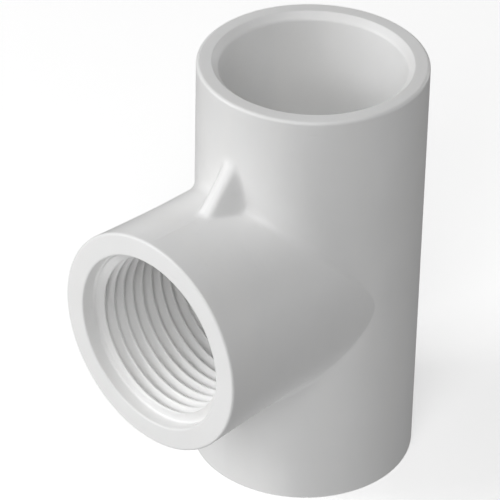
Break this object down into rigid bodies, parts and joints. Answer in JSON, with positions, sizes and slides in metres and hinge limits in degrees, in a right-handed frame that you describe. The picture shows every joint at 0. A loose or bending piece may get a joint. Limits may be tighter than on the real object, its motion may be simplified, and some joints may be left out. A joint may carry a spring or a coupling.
{
  "type": "pvc tee fitting",
  "caption": "White moulded plastic pipe tee: a straight run with a plain socket at each end, and a threaded branch at right angles with a small gusset in each crotch.",
  "frame": {"origin": "middle of the base of the fitting's box, on the lower end of the run, where it stands", "axes": "+Z along the run, -Y the way the threaded branch opens, X across the branch"},
  "size_m": [0.0336, 0.0492, 0.0652],
  "materials": {
    "white_pvc": "satin"
  },
  "bodies": {
    "root": {"tee_body": "white_pvc"}
  },
  "joints": []
}
